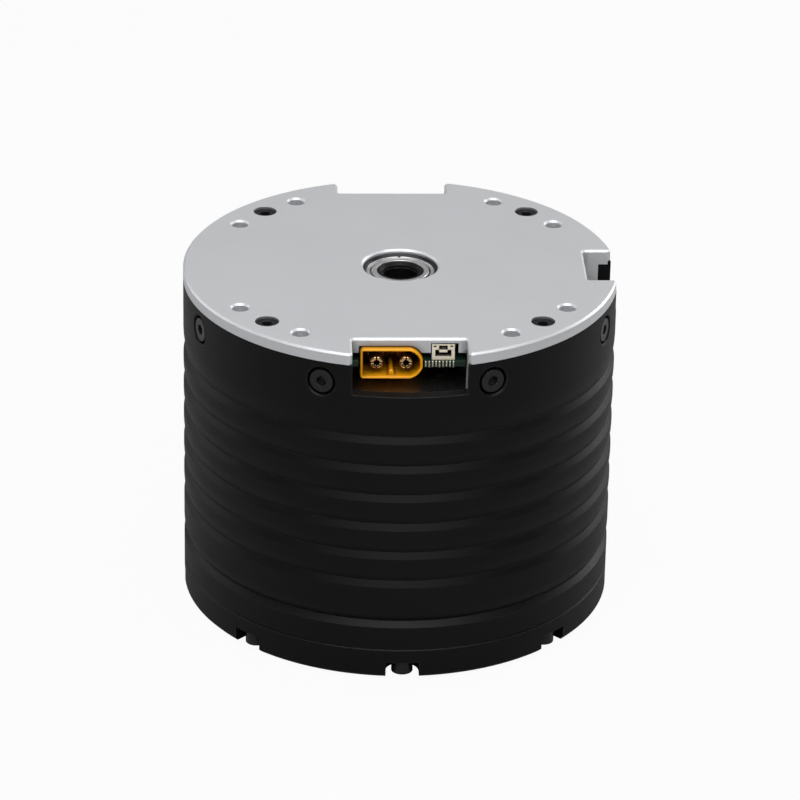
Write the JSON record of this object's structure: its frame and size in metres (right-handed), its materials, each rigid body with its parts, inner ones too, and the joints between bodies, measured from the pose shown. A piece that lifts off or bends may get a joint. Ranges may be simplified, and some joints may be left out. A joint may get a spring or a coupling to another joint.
{
  "type": "robot joint actuator",
  "caption": "Hollow-shaft robot joint actuator: ribbed round housing with motor and planetary gears, turning output flange, bolted rear cover, and power and signal sockets in a side window.",
  "frame": {"origin": "centre of the output flange's face, which is the bottom of the part", "axes": "+Z along the joint axis from the output flange to the rear cover; the connector window faces -Y"},
  "size_m": [0.1116, 0.1116, 0.091],
  "materials": {
    "black_anodised": "black anodised, satin",
    "silver_anodised": "clear anodised, fine satin",
    "black_steel": "black oxide",
    "bearing_steel": "ground",
    "gear_steel": "hobbed and ground",
    "lamination_steel": "stacked laminations",
    "copper": "enamelled copper",
    "magnet_nickel": "nickel plated",
    "bronze": "sintered bronze",
    "board_green": "solder mask",
    "chip_black": "moulded epoxy",
    "can_aluminium": "drawn can",
    "connector_yellow": "moulded nylon",
    "connector_cream": "moulded nylon",
    "gold_pin": "gold plated",
    "seal_rubber": "nitrile"
  },
  "bodies": {
    "casing": {"housing": "black_anodised", "front_cover": "black_anodised", "rear_cover": "silver_anodised", "front_cover_screws": "black_steel", "radial_screws": "black_steel", "rear_cover_screws": "black_steel", "output_bearing_outer_ring": "bearing_steel", "output_seal": "seal_rubber", "ring_gear": "gear_steel", "stator_core": "lamination_steel", "stator_coils": "copper", "phase_leads": "copper", "motor_end_plate": "can_aluminium", "rotor_front_bearing_outer_ring": "bearing_steel", "rotor_rear_bearing_outer_ring": "bearing_steel", "tube_bearing_outer_ring": "bearing_steel", "rear_bearing_shields": "bearing_steel", "controller_board": "board_green", "board_standoffs": "bronze", "board_screws": "black_steel", "power_transistors": "chip_black", "bus_capacitors": "can_aluminium", "encoder_chips": "chip_black", "power_connector_shell": "connector_yellow", "power_connector_pins": "gold_pin", "signal_connector_shell": "connector_cream", "signal_connector_pins": "gold_pin", "board_edge_pins": "gold_pin"},
    "output": {"output_flange": "black_anodised", "output_bearing_inner_ring": "bearing_steel", "carrier_front_plate": "gear_steel", "carrier_rear_plate": "gear_steel", "carrier_posts": "gear_steel", "carrier_screws": "black_steel", "planet_pins": "bearing_steel", "planet_thrust_washers": "bronze", "centre_tube": "black_anodised", "tube_bearing_inner_ring": "bearing_steel", "output_encoder_magnet": "magnet_nickel"},
    "rotor": {"rotor_shaft": "gear_steel", "sun_gear": "gear_steel", "rotor_hub": "can_aluminium", "rotor_back_iron": "lamination_steel", "rotor_magnets": "magnet_nickel", "rotor_front_bearing_inner_ring": "bearing_steel", "rotor_rear_bearing_inner_ring": "bearing_steel", "rotor_encoder_magnet": "magnet_nickel"},
    "planet_1": {"planet_gear_1": "gear_steel", "planet_bush_1": "bronze"},
    "planet_2": {"planet_gear_2": "gear_steel", "planet_bush_2": "bronze"},
    "planet_3": {"planet_gear_3": "gear_steel", "planet_bush_3": "bronze"},
    "output_rollers": {"output_bearing_rollers": "bearing_steel"},
    "rotor_front_balls": {"rotor_front_bearing_balls": "bearing_steel"},
    "rotor_rear_balls": {"rotor_rear_bearing_balls": "bearing_steel"},
    "tube_balls": {"tube_bearing_balls": "bearing_steel"}
  },
  "joints": [
    {"name": "output_spin", "type": "hinge", "parent": "casing", "child": "output", "pos_m": [0, 0, 0], "axis": [0, 0, 1], "continuous": true},
    {"name": "rotor_spin", "type": "hinge", "parent": "casing", "child": "rotor", "pos_m": [0, 0, 0], "axis": [0, 0, 1], "continuous": true},
    {"name": "planet_spin_1", "type": "hinge", "parent": "output", "child": "planet_1", "pos_m": [0.027, 0, 0], "axis": [0, 0, 1], "continuous": true},
    {"name": "planet_spin_2", "type": "hinge", "parent": "output", "child": "planet_2", "pos_m": [-0.0135, 0.02338, 0], "axis": [0, 0, 1], "continuous": true},
    {"name": "planet_spin_3", "type": "hinge", "parent": "output", "child": "planet_3", "pos_m": [-0.0135, -0.02338, 0], "axis": [0, 0, 1], "continuous": true},
    {"name": "output_roller_orbit", "type": "hinge", "parent": "casing", "child": "output_rollers", "pos_m": [0, 0, 0], "axis": [0, 0, 1], "continuous": true},
    {"name": "rotor_front_ball_orbit", "type": "hinge", "parent": "casing", "child": "rotor_front_balls", "pos_m": [0, 0, 0], "axis": [0, 0, 1], "continuous": true},
    {"name": "rotor_rear_ball_orbit", "type": "hinge", "parent": "casing", "child": "rotor_rear_balls", "pos_m": [0, 0, 0], "axis": [0, 0, 1], "continuous": true},
    {"name": "tube_ball_orbit", "type": "hinge", "parent": "casing", "child": "tube_balls", "pos_m": [0, 0, 0], "axis": [0, 0, 1], "continuous": true}
  ],
  "couplings": [
    {"joint": "rotor_spin", "follows": "output_spin", "ratio": 6},
    {"joint": "planet_spin_1", "follows": "output_spin", "ratio": -2.5},
    {"joint": "planet_spin_2", "follows": "output_spin", "ratio": -2.5},
    {"joint": "planet_spin_3", "follows": "output_spin", "ratio": -2.5},
    {"joint": "output_roller_orbit", "follows": "output_spin", "ratio": 0.47835},
    {"joint": "rotor_front_ball_orbit", "follows": "output_spin", "ratio": 2.7923},
    {"joint": "rotor_rear_ball_orbit", "follows": "output_spin", "ratio": 2.7923},
    {"joint": "tube_ball_orbit", "follows": "output_spin", "ratio": 0.45181}
  ]
}
